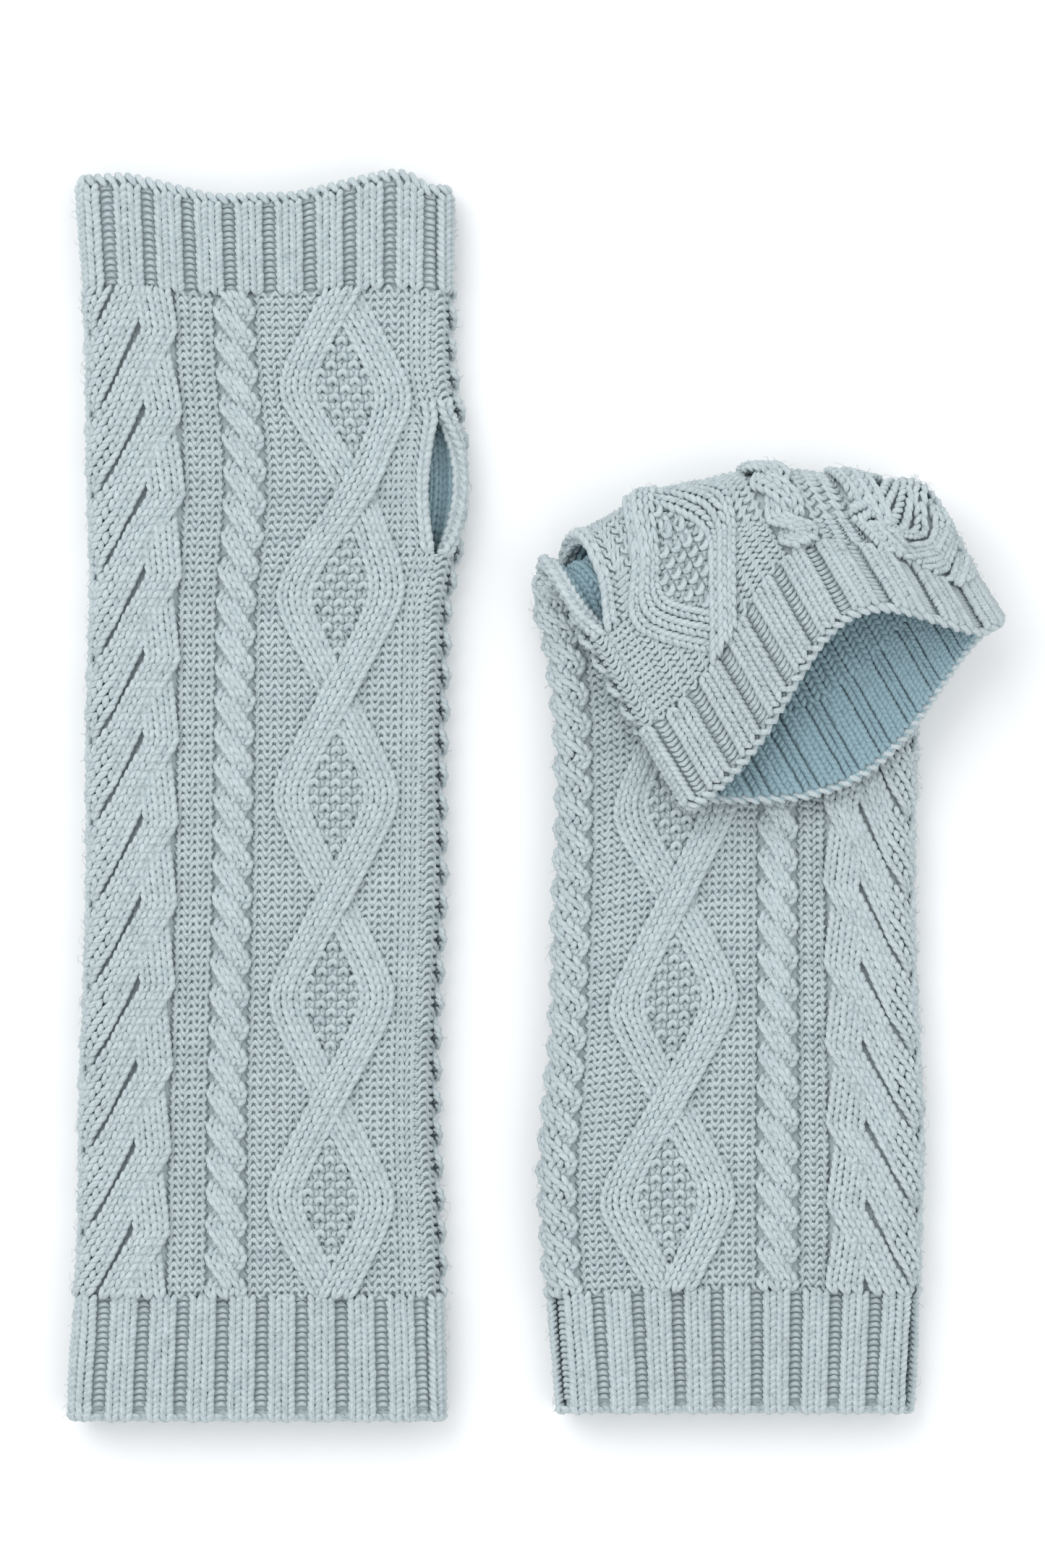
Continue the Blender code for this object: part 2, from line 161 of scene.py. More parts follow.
class Glove:
    """One knitted tube laid flat, with its hand end folded over or not."""

    def __init__(self, name, centre, cuff_y, outline, diamond_start, braid_start):
        self.name = name
        self.centre = centre
        self.cuff_y = cuff_y
        outline = np.array(outline, float)
        self.braid_outline = outline[:, (0, 1)]
        self.thumb_outline = outline[:, (0, 2)]
        self.diamond_start = diamond_start
        self.braid_start = braid_start
        self.folded = name == "right"
        self.thumb_way = -1.0 if self.folded else 1.0
        fold_y = cuff_y + BAND_START
        if self.folded:
            self.bend = (centre, fold_y + 1, 10.0), (centre, fold_y + 1, 21.0)
        else:
            self.bend = (centre, fold_y, FOLD_HEIGHT), (centre, fold_y + FOLD_BAND, FOLD_HEIGHT)
        self.yarn = {}
        self.cloth = {}

    def fold_start(self, across):
        if not self.folded:
            return BAND_START + 0 * across
        return BAND_START + FOLD_SKEW * (1 - across) - 2

    def side_x(self, across, up):
        share = up / GLOVE_LENGTH
        braid = BASE_HALF_WIDTH + eased(share, self.braid_outline)
        thumb = BASE_HALF_WIDTH + eased(share, self.thumb_outline)
        from_slit = np.clip((up - SLIT_BOTTOM - THUMB_SLIT / 2) / THUMB_SLIT, -1, 1)
        thumb = thumb + SLIT_BULGE / 2 * (1 + np.cos(math.pi * from_slit))
        return self.centre + self.thumb_way * (across * (braid + thumb) - braid)

    def middle(self, across, up):
        """A point of the tube's middle sheet and the direction from it to side A."""
        if self.folded:
            return self.folded_middle(across, up)
        wave = eased(across, FINGER_EDGE_WAVE)
        reach = np.clip((up - GLOVE_LENGTH + WAVE_REACH) / WAVE_REACH, 0, 1) ** 2
        point = np.stack([self.side_x(across, up), self.cuff_y + up + wave * reach,
                          MID_HEIGHT + 0 * up], axis=-1)
        return point, np.broadcast_to(np.array([0.0, 0.0, 1.0]), point.shape)

    def folded_middle(self, across, up):
        start = self.fold_start(across)
        turn = FOLD_TURN / 2
        crease = np.array([math.cos(turn), math.sin(turn)])
        ahead = np.array([-math.sin(turn), math.cos(turn)])
        flap_way = np.array([math.sin(FOLD_TURN), -math.cos(FOLD_TURN)])
        arm_length = start - FOLD_SLACK * (1 - np.sin(math.pi * across))
        flat = np.stack([self.side_x(across, np.minimum(up, start)),
                         self.cuff_y + np.minimum(up, start) / start * arm_length], axis=-1)
        angle = np.clip((up - start) / FOLD_ROWS, 0, 1) * math.pi
        drift = angle * FOLD_RADIUS * math.tan(turn)
        ease = FLAP_EASE - FLAP_EDGE_EASE * np.clip(1 - across, 0, 1) ** 3
        flap = np.maximum(up - start - FOLD_ROWS, 0) * ease
        plan = (flat + drift[..., None] * crease + (FOLD_RADIUS * np.sin(angle))[..., None] * ahead
                + flap[..., None] * flap_way)
        height = FOLD_HEIGHT - FOLD_RADIUS * np.cos(angle)
        point = np.concatenate([plan, height[..., None]], axis=-1)
        return point, np.concatenate([np.sin(angle)[..., None] * ahead, -np.cos(angle)[..., None]], axis=-1)

    def surface(self, around, up):
        """Mid-wall points for arrays of around and up."""
        around = np.mod(around + QUARTER, CIRCUMFERENCE) - QUARTER
        side_a = (around >= QUARTER) & (around <= HALF - QUARTER)
        side_b = around >= HALF + QUARTER
        braid_edge = around < QUARTER
        across = np.where(side_a, (around - QUARTER) / (HALF - 2 * QUARTER),
                          np.where(side_b, 1 - (around - HALF - QUARTER) / (HALF - 2 * QUARTER),
                                   np.where(braid_edge, 0.0, 1.0)))
        across = np.clip(across, 0, 1)
        station = up
        if self.folded:
            ramp = smooth((up - self.fold_start(across) + 8) / (FOLD_ROWS + 34))
            upper = np.sin(math.pi * across ** 0.65) ** 2
            station = (up - side_a * UPPER_LIP_LAG * upper * ramp
                       + side_b * LOWER_LIP_LEAD * np.sin(math.pi * across ** 1.3) * ramp)
        point, to_a = self.middle(across, station)
        along = self.middle(across, station + 0.5)[0] - self.middle(across, station - 0.5)[0]
        outward = unit(np.cross(along, to_a)) * np.where(braid_edge, -1.0, 1.0)[..., None]
        bend = np.where(braid_edge, around, HALF - around) / LAYER_RADIUS
        sideways = np.where(side_a | side_b, 0.0, np.cos(bend))
        towards_a = np.where(side_a, 1.0, np.where(side_b, -1.0, np.sin(bend)))
        point = point + LAYER_RADIUS * (sideways[..., None] * outward + towards_a[..., None] * to_a)
        if self.folded:
            flap_start = self.fold_start(across) + FOLD_ROWS
            rise = smooth((station - flap_start) / (GLOVE_LENGTH - flap_start - UPPER_LIP_LAG))
            point[..., 2] += MOUTH_RISE * rise * upper * side_a
        return point

    def wall(self, around, up, depth):
        """Points of the wall at a depth, in millimetres, and the way out of it there."""
        from_seam = around - SEAM_AT
        near = np.abs(from_seam) < SLIT_REACH
        gap = slit_opening(up)
        opened = SEAM_AT + np.where(from_seam < 0, -1, 1) * (gap + np.abs(from_seam) * (1 - gap / SLIT_REACH))
        around = np.where(near, opened, around)
        step = 0.4
        across = self.surface(around + step, up) - self.surface(around - step, up)
        along = self.surface(around, up + step) - self.surface(around, up - step)
        normal = unit(np.cross(across, along))
        depth = (depth + 0.35 * np.sin(around * 0.19 + 1.3) * np.sin(up * 0.083 + 0.4)
                 + 0.15 * np.sin(around * 0.41 + up * 0.11))
        point = self.surface(around, up) + np.asarray(depth)[..., None] * normal
        point[..., 2] = np.maximum(point[..., 2], 0.05)
        return point, normal

    def piece_names(self, kind, around, up):
        """The CAD piece each stitch belongs to, by where it lies along the knitting."""
        start = self.fold_start(across_of(around))
        side = np.where(np.mod(around, CIRCUMFERENCE) < HALF, "a", "b")
        names = np.where(up < start, "arm_" + kind, "hand_" + kind)
        in_band = (up >= start) & (up < start + FOLD_BAND)
        band_piece = "thumb_edge_" if kind in ("side_seam", "thumb_edge") else "wrist_fold_"
        return np.where(in_band, np.char.add(band_piece, side), names)

    def lay(self, kind, paths, thickness, sides=5, tone=None, whole=False):
        """Adds tubes of yarn: paths are (tube, place, 3), thickness the radius at each place.

        kind is a zone that runs through arm, wrist and hand, or with whole the name of one piece.
        """
        if len(paths) == 0:
            return
        tone = random.normal(0, 1, len(paths)) if tone is None else tone
        thickness = np.broadcast_to(thickness, paths.shape[:2])
        if whole:
            names = np.full(len(paths), kind)
        else:
            names = self.piece_names(kind, paths[:, :, 0].mean(1), paths[:, :, 1].mean(1))
        for name in np.unique(names):
            mine = names == name
            self.yarn.setdefault(str(name), []).append((paths[mine], thickness[mine], sides, tone[mine]))


LEG_UP = np.array([-0.30, 0.12, 0.56, 1.0, 1.38])
LEG_OUT = np.array([0.03, 0.14, 0.25, 0.345, 0.37])
LEG_RISE = np.array([-1.05, 0.05, 0.50, 0.22, -0.95])
LEG_RADIUS = np.array([0.50, 0.96, 1.10, 0.96, 0.50])


def knit_legs(wales, rows, wale_width, row_height, track=None, level=0.9, radius=0.86, inward=False):
    """The two slanting legs of each knit stitch, in columns that may follow a track.

    wales are offsets from the track, rows the height of each row. level is a depth, or a function
    of (wale offset, up).
    """
    offset, low, way = (grid.ravel() for grid in np.meshgrid(wales, rows, (-1.0, 1.0), indexing="ij"))
    up = low[:, None] + LEG_UP * row_height + random.normal(0, 0.05, (len(low), 1))
    out = way[:, None] * LEG_OUT * wale_width * random.normal(1, 0.03, (len(low), 1))
    centre = track(up) if track else 0.0
    around = centre + offset[:, None] + out + random.normal(0, 0.05, (len(low), 1))
    base = level(offset[:, None], up) if callable(level) else level
    rise = (-np.maximum(LEG_RISE, -0.3) if inward else LEG_RISE) * radius / 0.86
    depth = base + rise + random.normal(0, 0.05, (len(low), 1)) + 0 * up
    thickness = radius * LEG_RADIUS * random.normal(1, 0.035, (len(low), 1))
    return np.stack([around, up, depth], axis=-1), thickness


def purl_rows(low, high, rows, row_height, level=0.35, radius=0.72):
    """Wavy rows of purl loops from one place round the tube to another."""
    wales = max(1, round((high - low) / PURL_WALE))
    share = np.linspace(0, 1, wales * 6 + 1)
    wave = 2 * math.pi * share * wales
    up = np.asarray(rows)[:, None] + row_height * (0.5 + 0.50 * np.cos(wave + math.pi))
    around = low + share * (high - low) + 0.28 * np.sin(2 * wave) + 0 * up
    depth = level + 0.34 * np.cos(2 * wave) + random.normal(0, 0.05, up.shape)
    thickness = radius * (1 + 0.10 * np.cos(2 * wave)) * np.ones_like(up)
    up = up + random.normal(0, 0.07, up.shape)
    return np.stack([around, up, depth], axis=-1), thickness


def short_loops(around, up, width, height, level, radius):
    """Separate purl bumps, each a small arch lying across its wale."""
    share = np.array([-0.5, -0.28, 0.0, 0.28, 0.5])
    arch = np.array([-0.5, 0.28, 0.55, 0.28, -0.5])
    rise = np.array([-0.7, 0.12, 0.42, 0.12, -0.7])
    around = around[:, None] + share * width + random.normal(0, 0.06, (len(around), 1))
    up = up[:, None] + arch * height + random.normal(0, 0.06, (len(up), 1))
    return np.stack([around, up, level + rise + 0 * up], axis=-1), radius * np.array([0.6, 1, 1.1, 1, 0.6])


def rib_profile(around):
    """How far the ribbing stands out: pairs of wales up, the valleys between them sunk."""
    place = np.mod(around, RIB_REPEAT)
    flat = RIB_WALE * 0.55
    return 0.95 - 1.75 * smooth((np.abs(place - RIB_WALE) - flat) / (RIB_REPEAT / 2 - flat))


def rib_level(offset, up):
    return 0.4 + rib_profile(offset) * 0.7 + 0 * up


def rib(glove, part, low, high, count):
    """Two-by-two rib: pairs of knit wales with a narrow sunk valley between them, inside out within."""
    height = (high - low) / count
    rows = low + height * np.arange(count)
    valley = RIB_REPEAT - 2 * RIB_WALE
    for number in range(RIB_PAIRS):
        first = number * RIB_REPEAT
        side = "a" if first + RIB_WALE < HALF else "b"
        middle = first + 2 * RIB_WALE + valley / 2
        valley_side = "a" if middle < HALF else "b"
        paths, thickness = knit_legs(np.array([0.5, 1.5]) * RIB_WALE + first, rows, RIB_WALE, height,
                                     level=rib_level, radius=0.84)
        glove.lay(f"{part}_{side}", paths, thickness, whole=True)
        paths, thickness = short_loops(np.full(count, middle), rows + height / 2, valley + 1.2,
                                       height * 0.7, -0.55, 0.64)
        glove.lay(f"{part}_{valley_side}", paths, thickness, whole=True)
        if part == "cuff_rib":
            continue
        # The finger rib's wrong side, inside the tube, is laid in the dark blue-grey painted shade tone.
        for at, wales, width, level, name in ((middle, (-0.5, 0.5), 2.7, -1.75, valley_side),
                                              (first + RIB_WALE, (0.0,), 3.4, -1.0, side)):
            paths, thickness = knit_legs(np.array(wales) * width + at, rows, width, height,
                                         level=level, radius=0.82, inward=True)
            glove.lay(f"{part}_{name}", paths, thickness, whole=True, sides=4,
                      tone=np.full(len(paths), INSIDE_SHADE_TONE))


def rope(glove, kind, centre, rows):
    """Two strands of two wales twisted round each other."""
    for strand in (0, 1):
        def track(up, strand=strand):
            swing = np.cos(math.pi * (up / ROPE_CROSSING + strand))
            return centre + ROPE_WALE * 0.80 * np.arcsin(0.9 * swing) / math.asin(0.9)

        def level(offset, up, strand=strand):
            lean = np.sin(math.pi * (up / ROPE_CROSSING + strand))
            return 1.65 + 0.95 * np.sign(lean) * np.abs(lean) ** 0.7

        paths, thickness = knit_legs(np.array([-0.5, 0.5]) * ROPE_WALE, rows, ROPE_WALE * 1.04, ROW,
                                     track, level, radius=0.78)
        glove.lay(kind, paths, thickness)


def diamond_track(glove, up, strand):
    wave = np.sin(math.pi * (up - glove.diamond_start) / DIAMOND_PERIOD)
    return (1 - 2 * strand) * DIAMOND_REACH * np.arcsin(0.95 * wave) / math.asin(0.95)


def diamond(glove, kind, centre, rows):
    """Two three-wale strands that cross and part again, with moss stitch between them."""
    for strand in (0, 1):
        def track(up, strand=strand):
            return centre + diamond_track(glove, up, strand)

        def level(offset, up, strand=strand):
            phase = (up - glove.diamond_start) / DIAMOND_PERIOD
            from_crossing = np.abs(phase - np.round(phase)) * DIAMOND_PERIOD
            over = (1 - 2 * strand) * np.cos(math.pi * phase) * np.exp(-(from_crossing / 7.5) ** 2)
            return 1.85 + 0.95 * over - 0.6 * (offset / DIAMOND_WALE) ** 2

        paths, thickness = knit_legs(np.array([-1.0, 0.0, 1.0]) * DIAMOND_WALE, rows, DIAMOND_WALE, ROW,
                                     track, level, radius=0.78)
        glove.lay(kind, paths, thickness)
    column, row = (grid.ravel() for grid in np.meshgrid(np.arange(-3, 4), np.arange(len(rows)),
                                                        indexing="ij"))
    keep = (column + row) % 2 == 0
    around = column[keep] * 2.75
    up = rows[row[keep]] + ROW / 2
    inside = np.abs(around) < np.abs(diamond_track(glove, up, 0)) - 4.9
    paths, thickness = short_loops(centre + around[inside], up[inside], 2.5, ROW * 0.9, 1.55, 0.84)
    glove.lay(kind, paths, thickness)
    keep = (column + row) % 2 == 1
    around, up = column[keep] * 2.75, rows[row[keep]]
    inside = np.abs(around) < np.abs(diamond_track(glove, up, 0)) - 4.9
    for way in (-1, 1):
        low = np.stack([centre + around[inside][:, None] + way * LEG_OUT * 2.75,
                        up[inside][:, None] + LEG_UP * ROW,
                        0.45 + LEG_RISE * 0.9 + 0 * around[inside][:, None]], axis=-1)
        glove.lay(kind, low, 0.72 * LEG_RADIUS)


def braid(glove, rows):
    """The wide plait: strands leave the middle, slant to the border and dive under the next one."""
    slope = BRAID_STRAND / BRAID_PERIOD
    lane = BRAID_EDGE - BRAID_STRAND / 2
    for side in (1.0, -1.0):
        first = glove.braid_start + (0 if side > 0 else BRAID_PERIOD / 2)
        for number in range(-4, 15):
            start = first + number * BRAID_PERIOD
            corner = start + lane / slope
            end = corner + BRAID_PERIOD
            mine = rows[(rows > start - 6) & (rows < end + 1)]
            if len(mine) == 0:
                continue

            def track(up, start=start, side=side):
                free = slope * (up - start)
                upright = lane + 0.9 - 0.13 * (free - lane) / slope
                return side * np.where(free < lane, free + 0.9 * smooth((free - lane + 5) / 5), upright)

            def level(offset, up, start=start, corner=corner, end=end):
                sunk = 2.2 * smooth((start + 4 - up) / 11) + 2.6 * smooth((up - end + 9) / 9)
                over = 0.6 * np.exp(-((up - corner) / 7) ** 2)
                return 2.0 + over - sunk - 0.45 * (offset / BRAID_WALE) ** 2

            paths, thickness = knit_legs(np.array([-1.0, 0.0, 1.0]) * BRAID_WALE, mine, BRAID_WALE, ROW,
                                         track, level, radius=0.79)
            glove.lay("braid_cable", paths, thickness)


def edges(glove):
    """The cast-on loops at the cuff and the chain that binds off the finger end."""
    pitch = CIRCUMFERENCE / CAST_ON_LOOPS
    at = np.arange(CAST_ON_LOOPS) * pitch
    share = np.linspace(0, 1, 6)
    height = EDGE_HEIGHT / 2
    for number in range(RIB_PAIRS):
        paths, thickness = knit_legs((np.array([0.5, 1.5]) * RIB_WALE + number * RIB_REPEAT),
                                     np.array([0.4, 0.4 + height]), RIB_WALE, height,
                                     level=rib_level, radius=0.84)
        glove.lay("cast_on_edge", paths, thickness, whole=True)
    for low, level, lean in ((0.5, 0.1, 0.5), (1.1, 0.35, -0.4)):
        paths = np.stack([at[:, None] + share * pitch * 1.5,
                          low + lean * (share - 0.5) + 0.35 * np.sin(math.pi * share) + 0 * at[:, None],
                          level - 1.6 * np.abs(share - 0.5) + 0.8 * rib_profile(at[:, None] + share * pitch)],
                         axis=-1)
        glove.lay("cast_on_edge", paths, 0.66 * np.array([0.6, 0.95, 1.05, 1.05, 0.95, 0.6]), whole=True)
    pitch = CIRCUMFERENCE / BIND_OFF_LOOPS
    at = np.arange(BIND_OFF_LOOPS) * pitch
    for level, way in ((0.9, 1), (-0.9, -1)):
        paths = np.stack([at[:, None] + way * (0.9 - share * 2.5),
                          GLOVE_LENGTH - 3.1 + share * 2.9 + 0 * at[:, None],
                          level - way * (1.1 * share ** 3 + 0.6 * (1 - share) ** 4) + 0 * at[:, None]],
                         axis=-1)
        glove.lay("bind_off_edge", paths, 0.80 * np.array([0.6, 0.95, 1.1, 1.1, 1.0, 0.7]), whole=True)


def seam_and_slit(glove, rows):
    """Seam stitches along the thumb side, and a knit edge round the open slit."""
    closed = rows[slit_opening(rows) < 0.2]
    share = np.linspace(-0.5, 0.5, 5)
    for start, lean in ((0, 0.5), (1, -0.5)):
        at = closed[start::2]
        paths = np.stack([SEAM_AT + share * 2.2 + 0 * at[:, None], at[:, None] + 1.0 + lean * share * 2,
                          0.35 - 1.2 * np.abs(share) + 0 * at[:, None]], axis=-1)
        glove.lay("side_seam", paths, 0.50)
    start = glove.fold_start(np.array(1.0))
    band = rows[(rows >= start - 0.1) & (rows < start + FOLD_BAND - 0.5)]
    for side, name in ((-1, "thumb_edge_a"), (1, "thumb_edge_b")):
        for inward, level in ((False, 0.7), (True, -0.9)):
            paths, thickness = knit_legs(np.array([SEAM_AT + side * 1.9]), band, 3.3, ROW, level=level,
                                         radius=0.9, inward=inward)
            glove.lay(name, paths, thickness, whole=True)
        paths = np.stack([SEAM_AT + side * (0.75 + 0.5 * np.sin(math.pi * (share + 0.5))) + 0 * band[:, None],
                          band[:, None] + (share + 0.5) * ROW * 1.5,
                          0.9 - 1.8 * (share + 0.5) + 0 * band[:, None]], axis=-1)
        glove.lay(name, paths, 0.72, whole=True)


def knit(glove):
    rows = np.arange(CUFF_TOP, HAND_TOP - 0.5, ROW)
    rib(glove, "cuff_rib", EDGE_HEIGHT, CUFF_TOP, CUFF_ROWS)
    rib(glove, "finger_rib", HAND_TOP, GLOVE_LENGTH - EDGE_HEIGHT, FINGER_ROWS)
    edges(glove)
    braid(glove, rows)
    for kind, centre in ROPES.items():
        rope(glove, kind, centre, rows)
    for kind, centre in DIAMONDS.items():
        diamond(glove, kind, centre, rows)
    for side, low, high in PURL_SPANS:
        paths, thickness = purl_rows(low, high, rows, ROW)
        glove.lay("purl_ground_" + side, paths, thickness)
    paths, thickness = purl_rows(79.0, 84.0, rows, ROW)
    near_slit = slit_opening(rows) > 0.2
    glove.lay("purl_ground_a", paths[~near_slit], thickness[~near_slit])
    paths, thickness = purl_rows(77.0, 80.6, rows[near_slit], ROW)
    glove.lay("purl_ground_a", paths, thickness)
    seam_and_slit(glove, rows)
    line_inside(glove, rows[(rows > 208) & (rows < 256)],
                (("purl_ground_a", 62.0, SEAM_AT - 3.5), ("purl_ground_b", SEAM_AT + 3.5, 116.0)))
    if glove.folded:
        line_inside(glove, rows[rows > 256],
                    (("braid_cable", -BRAID_EDGE, BRAID_EDGE), ("purl_ground_a", BRAID_EDGE, SEAM_AT),
                     ("purl_ground_b", SEAM_AT, CIRCUMFERENCE - BRAID_EDGE)))


def line_inside(glove, rows, spans):
    """The wrong side of the knitting, where it is seen through the mouth and the thumb slit, laid in the dark
    blue-grey tone of painted shade.
    """
    for kind, low, high in spans:
        wales = round((high - low) / PURL_WALE)
        width = (high - low) / wales
        paths, thickness = knit_legs(low + width * (np.arange(wales) + 0.5), rows, width, ROW,
                                     level=lambda offset, up: -1.7 + 0.45 * np.sin(offset * 0.62) + 0 * up,
                                     radius=0.84, inward=True)
        glove.lay(kind, paths, thickness, sides=4, tone=np.full(len(paths), INSIDE_SHADE_TONE))


def back_with_cloth(glove):
    """The thin closed cloth behind the stitches: for each piece its span, low and high ends, depths."""
    start, end = glove.fold_start, lambda across: glove.fold_start(across) + FOLD_BAND
    at = lambda value: lambda across: value + 0 * across
    rib_depth, ground = (-0.95, -0.55), (-1.25, -0.1)
    for part, low, high in (("cuff_rib", at(EDGE_HEIGHT - 0.5), at(CUFF_TOP + 0.5)),
                            ("finger_rib", at(HAND_TOP - 0.5), at(GLOVE_LENGTH - EDGE_HEIGHT + 0.5))):
        glove.cloth[part + "_a"] = ((0.0, HALF), low, high, rib_depth)
        glove.cloth[part + "_b"] = ((HALF, CIRCUMFERENCE), low, high, rib_depth)
    for part, low, high in (("arm", at(CUFF_TOP), start), ("hand", end, at(HAND_TOP))):
        glove.cloth[part + "_braid_cable"] = ((-BRAID_EDGE, BRAID_EDGE), low, high, (-1.25, -0.1))
        glove.cloth[part + "_purl_ground_a"] = ((BRAID_EDGE, SEAM_AT), low, high, ground)
        glove.cloth[part + "_purl_ground_b"] = ((SEAM_AT, CIRCUMFERENCE - BRAID_EDGE), low, high, ground)
    glove.cloth["wrist_fold_a"] = ((0.0, SEAM_AT - 3.5), start, end, ground)
    glove.cloth["wrist_fold_b"] = ((SEAM_AT + 3.5, CIRCUMFERENCE), start, end, ground)
    glove.cloth["thumb_edge_a"] = ((SEAM_AT - 3.6, SEAM_AT - 0.4), start, end, ground)
    glove.cloth["thumb_edge_b"] = ((SEAM_AT + 0.4, SEAM_AT + 3.6), start, end, ground)
    glove.cloth["cast_on_edge"] = ((0.0, CIRCUMFERENCE), at(0.6), at(EDGE_HEIGHT), rib_depth)
    glove.cloth["bind_off_edge"] = ((0.0, CIRCUMFERENCE), at(GLOVE_LENGTH - EDGE_HEIGHT),
                                    at(GLOVE_LENGTH - 0.8), rib_depth)


class MeshParts:
    """Vertices, faces, maps and tones of one piece, gathered before its mesh is made."""

    def __init__(self):
        self.points, self.tones, self.corners, self.counts = [], [], [], []
        self.ply, self.atlas, self.total = [], [], 0

    def add(self, points, tones, faces, ply, atlas):
        """faces, ply and atlas are (face, corner) and (face, corner, 2) arrays of one corner count."""
        self.points.append(points)
        self.tones.append(tones)
        for group, group_ply, group_atlas in zip(faces, ply, atlas):
            self.corners.append((group + self.total).ravel())
            self.counts.append(np.full(len(group), group.shape[1]))
            self.ply.append(group_ply.reshape(-1, 2))
            self.atlas.append(group_atlas.reshape(-1, 2))
        self.total += len(points)

    def mesh(self, name):
        mesh = bpy.data.meshes.new(name)
        points = np.concatenate(self.points).astype(np.float32) * MM
        corners = np.concatenate(self.corners).astype(np.int32)
        counts = np.concatenate(self.counts).astype(np.int32)
        mesh.vertices.add(len(points))
        mesh.vertices.foreach_set("co", points.ravel())
        mesh.loops.add(len(corners))
        mesh.loops.foreach_set("vertex_index", corners)
        mesh.polygons.add(len(counts))
        mesh.polygons.foreach_set("loop_start", (np.cumsum(counts) - counts).astype(np.int32))
        mesh.update(calc_edges=True)
        for layer, values in (("OFBake", self.atlas), ("Ply", self.ply)):
            uv = mesh.uv_layers.new(name=layer)
            uv.uv.foreach_set("vector", np.concatenate(values).astype(np.float32).ravel())
        tone = mesh.attributes.new("tone", "FLOAT", "POINT")
        tone.data.foreach_set("value", np.concatenate(self.tones).astype(np.float32))
        mesh.polygons.foreach_set("use_smooth", np.ones(len(counts), bool))
        return mesh


def add_tubes(parts, glove, paths, thickness, sides, tone, first_cell, grid, band):
    """Closed tubes swept along paths, each with its own cell of the atlas."""
    count, places, _ = paths.shape
    points, outward = glove.wall(paths[..., 0], paths[..., 1], paths[..., 2])
    tangent = unit(np.gradient(points, axis=1))
    side = unit(np.cross(tangent, outward))
    above = unit(np.cross(side, tangent))
    turn = 2 * math.pi * np.arange(sides) / sides
    ring = (points[:, :, None] + thickness[..., None, None]
            * (np.cos(turn)[:, None] * side[:, :, None] + np.sin(turn)[:, None] * above[:, :, None]))
    ring[..., 2] = np.maximum(ring[..., 2], LEAST_HEIGHT)
    tube, place, spoke = (g.ravel() for g in np.meshgrid(
        np.arange(count), np.arange(places - 1), np.arange(sides), indexing="ij"))

    def vertex(a, j):
        return (tube * places + a) * sides + j % sides

    quads = np.stack([vertex(place, spoke), vertex(place + 1, spoke), vertex(place + 1, spoke + 1),
                      vertex(place, spoke + 1)], axis=1)
    u = np.stack([place, place + 1, place + 1, place], axis=1) / (places - 1)
    v = np.stack([spoke, spoke, spoke + 1, spoke + 1], axis=1) / sides
    length = np.linalg.norm(np.diff(points, axis=1), axis=-1).sum(1)
    ply = np.stack([u * length[tube][:, None], v], axis=-1)
    cell = first_cell + np.arange(count)
    corner = np.stack([cell % grid, cell // grid], axis=1) / grid

    def in_cell(u, v, which):
        x = corner[which][:, 0:1] + (0.06 + 0.88 * u) / grid
        y = corner[which][:, 1:2] + (0.06 + 0.88 * v) / grid
        return np.stack([x, band + (1 - band) * y], axis=-1)

    spokes = np.arange(sides)
    start_caps = (np.arange(count)[:, None] * places) * sides + spokes
    end_caps = (np.arange(count)[:, None] * places + places - 1) * sides + spokes[::-1]
    caps = np.concatenate([start_caps, end_caps])
    which = np.concatenate([np.arange(count)] * 2)
    cap_u = np.repeat([[0.0], [1.0]], count, axis=0) + 0 * spokes
    cap_v = 0.5 + 0.02 * np.stack([np.cos(turn)] * len(caps))
    cap_u = cap_u * 0.96 + 0.02 + 0.01 * np.stack([np.sin(turn)] * len(caps))
    cap_ply = np.stack([cap_u * 0, cap_v], axis=-1)
    parts.add(ring.reshape(-1, 3), np.repeat(tone, places * sides), (quads, caps), (ply, cap_ply),
              (in_cell(u, v, tube), in_cell(cap_u, cap_v, which)))
    return first_cell + count


